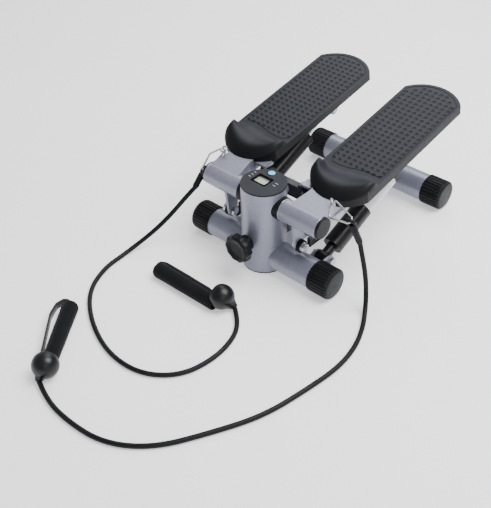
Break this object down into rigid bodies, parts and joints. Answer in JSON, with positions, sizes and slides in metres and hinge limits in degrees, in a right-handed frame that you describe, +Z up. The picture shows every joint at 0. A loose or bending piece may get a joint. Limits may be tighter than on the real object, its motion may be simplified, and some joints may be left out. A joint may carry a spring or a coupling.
{
  "type": "mini stepper",
  "caption": "Mini stepper: two linked pedals on an axle through a post with a step counter, hydraulic cylinders behind it, and two resistance bands with foam handles.",
  "frame": {"origin": "on the floor under the axis of the post, at the face of its foot", "axes": "+Z up; -Y is the front, where the adjusting knob is; the pedals run back along +Y; +X is the left of a user who stands on the pedals and faces the post"},
  "size_m": [0.4476, 0.8159, 0.2124],
  "materials": {
    "frame_paint": "satin metallic blue-grey powder coat",
    "black_rubber": "matt moulded rubber",
    "black_plastic": "fine-grained moulded plastic",
    "pedal_plastic": "charcoal moulded plastic",
    "bush_plastic": "natural acetal",
    "steel": "bright steel",
    "zinc_steel": "zinc-plated fasteners and wire",
    "damper_paint": "gloss black enamel",
    "dark_paint": "dark grey enamel",
    "window": "clear acrylic",
    "lcd": "reflective liquid crystal panel",
    "board": "green circuit board",
    "cell_steel": "nickel-plated can",
    "button_plastic": "light blue",
    "band_rubber": "natural latex tube, black",
    "foam": "closed-cell foam",
    "webbing": "woven polyester strap"
  },
  "bodies": {
    "frame": {"post": "frame_paint", "post_foot": "black_rubber", "front_tube": "frame_paint", "rear_tube": "frame_paint", "front_caps": "black_plastic", "rear_caps": "black_plastic", "centre_beam": "frame_paint", "axle": "steel", "axle_bolts": "zinc_steel", "axle_spacers": "black_plastic", "console_housing": "black_plastic", "console_window": "window", "lcd_panel": "lcd", "circuit_board": "board", "coin_cell": "cell_steel", "rocker_boss": "frame_paint", "rocker_bolt": "zinc_steel", "cylinder_bolts": "zinc_steel", "handle_straps": "webbing", "left_cylinder_bracket": "frame_paint", "right_cylinder_bracket": "frame_paint", "left_band_cord": "band_rubber", "right_band_cord": "band_rubber", "left_band_end": "band_rubber", "right_band_end": "band_rubber", "left_handle_dome": "black_plastic", "right_handle_dome": "black_plastic", "left_handle_grip": "foam", "right_handle_grip": "foam"},
    "button": {"console_button": "button_plastic"},
    "knob": {"knob": "black_plastic", "adjuster_screw": "steel"},
    "yoke": {"height_yoke": "dark_paint"},
    "rocker": {"rocker_bar": "dark_paint"},
    "left_roller": {"left_roller": "black_plastic"},
    "left_step": {"left_sleeve": "frame_paint", "left_bushes": "bush_plastic", "left_sleeve_cap": "black_plastic", "left_bumper": "black_rubber", "left_bumper_bolt": "zinc_steel", "left_pedal_arm": "frame_paint", "left_rod_pin": "steel", "left_pedal": "pedal_plastic", "left_band_eye": "zinc_steel"},
    "left_damper": {"left_cylinder": "damper_paint"},
    "left_rod": {"left_piston_rod": "steel"},
    "left_hook": {"left_band_hook": "zinc_steel"},
    "right_roller": {"right_roller": "black_plastic"},
    "right_step": {"right_sleeve": "frame_paint", "right_bushes": "bush_plastic", "right_sleeve_cap": "black_plastic", "right_bumper": "black_rubber", "right_bumper_bolt": "zinc_steel", "right_pedal_arm": "frame_paint", "right_rod_pin": "steel", "right_pedal": "pedal_plastic", "right_band_eye": "zinc_steel"},
    "right_damper": {"right_cylinder": "damper_paint"},
    "right_rod": {"right_piston_rod": "steel"},
    "right_hook": {"right_band_hook": "zinc_steel"}
  },
  "joints": [
    {"name": "left_pedal_hinge", "type": "hinge", "parent": "frame", "child": "left_step", "pos_m": [0.09, 0, 0.1268], "axis": [1, 0, 0], "range_deg": [-10, 10]},
    {"name": "right_pedal_hinge", "type": "hinge", "parent": "frame", "child": "right_step", "pos_m": [-0.09, 0, 0.1268], "axis": [1, 0, 0], "range_deg": [-10.2, 10.2]},
    {"name": "left_cylinder_tilt", "type": "hinge", "parent": "frame", "child": "left_damper", "pos_m": [0.0942, 0.04, 0.03], "axis": [1, 0, 0], "range_deg": [-10.2, 10.2]},
    {"name": "left_rod_slide", "type": "slide", "parent": "left_damper", "child": "left_rod", "axis": [0, 0.922, 0.3872], "range_m": [-0.0186, 0.0186]},
    {"name": "left_roller_spin", "type": "hinge", "parent": "rocker", "child": "left_roller", "pos_m": [0.046, 0.057, 0.135], "axis": [1, 0, 0], "continuous": true},
    {"name": "left_hook_swing", "type": "hinge", "parent": "frame", "child": "left_hook", "pos_m": [0.161, 0.0175, 0.151], "axis": [0.3139, 0.6419, 0.6996], "range_deg": [-10.6, 10.6]},
    {"name": "right_cylinder_tilt", "type": "hinge", "parent": "frame", "child": "right_damper", "pos_m": [-0.0942, 0.04, 0.03], "axis": [1, 0, 0], "range_deg": [-10.2, 10.2]},
    {"name": "right_rod_slide", "type": "slide", "parent": "right_damper", "child": "right_rod", "axis": [0, 0.922, 0.3872], "range_m": [-0.0186, 0.0186]},
    {"name": "right_roller_spin", "type": "hinge", "parent": "rocker", "child": "right_roller", "pos_m": [-0.046, 0.057, 0.135], "axis": [1, 0, 0], "continuous": true},
    {"name": "right_hook_swing", "type": "hinge", "parent": "frame", "child": "right_hook", "pos_m": [-0.136, -0.001, 0.124], "axis": [0.924, -0.2585, -0.2818], "range_deg": [-10.6, 10.6]},
    {"name": "rocker_pivot", "type": "hinge", "parent": "frame", "child": "rocker", "pos_m": [0, 0.057, 0.124], "axis": [0, 1, 0], "range_deg": [-12.6, 12.6]},
    {"name": "knob_turn", "type": "hinge", "parent": "frame", "child": "knob", "pos_m": [0, -0.06, 0.063], "axis": [0, 1, 0], "range_deg": [0, 722]},
    {"name": "yoke_slide", "type": "slide", "parent": "frame", "child": "yoke", "axis": [0, 1, 0], "range_m": [0, 0.0035]},
    {"name": "console_button_press", "type": "slide", "parent": "frame", "child": "button", "axis": [0, 0, -1], "range_m": [0, 0.0008], "stiffness_N_per_m": 600, "springref_m": -0.0003}
  ],
  "couplings": [
    {"joint": "right_pedal_hinge", "follows": "left_pedal_hinge", "ratio": -1},
    {"joint": "left_cylinder_tilt", "follows": "left_pedal_hinge", "ratio": 0.9978},
    {"joint": "left_rod_slide", "follows": "left_pedal_hinge", "m_per_rad": 0.10421},
    {"joint": "left_hook_swing", "follows": "left_pedal_hinge", "ratio": 0.924},
    {"joint": "right_cylinder_tilt", "follows": "left_pedal_hinge", "ratio": -0.9978},
    {"joint": "right_rod_slide", "follows": "left_pedal_hinge", "m_per_rad": -0.10421},
    {"joint": "right_hook_swing", "follows": "left_pedal_hinge", "ratio": -0.87},
    {"joint": "rocker_pivot", "follows": "left_pedal_hinge", "ratio": -1.239},
    {"joint": "knob_turn", "follows": "yoke_slide", "rad_per_m": 3590.4}
  ]
}
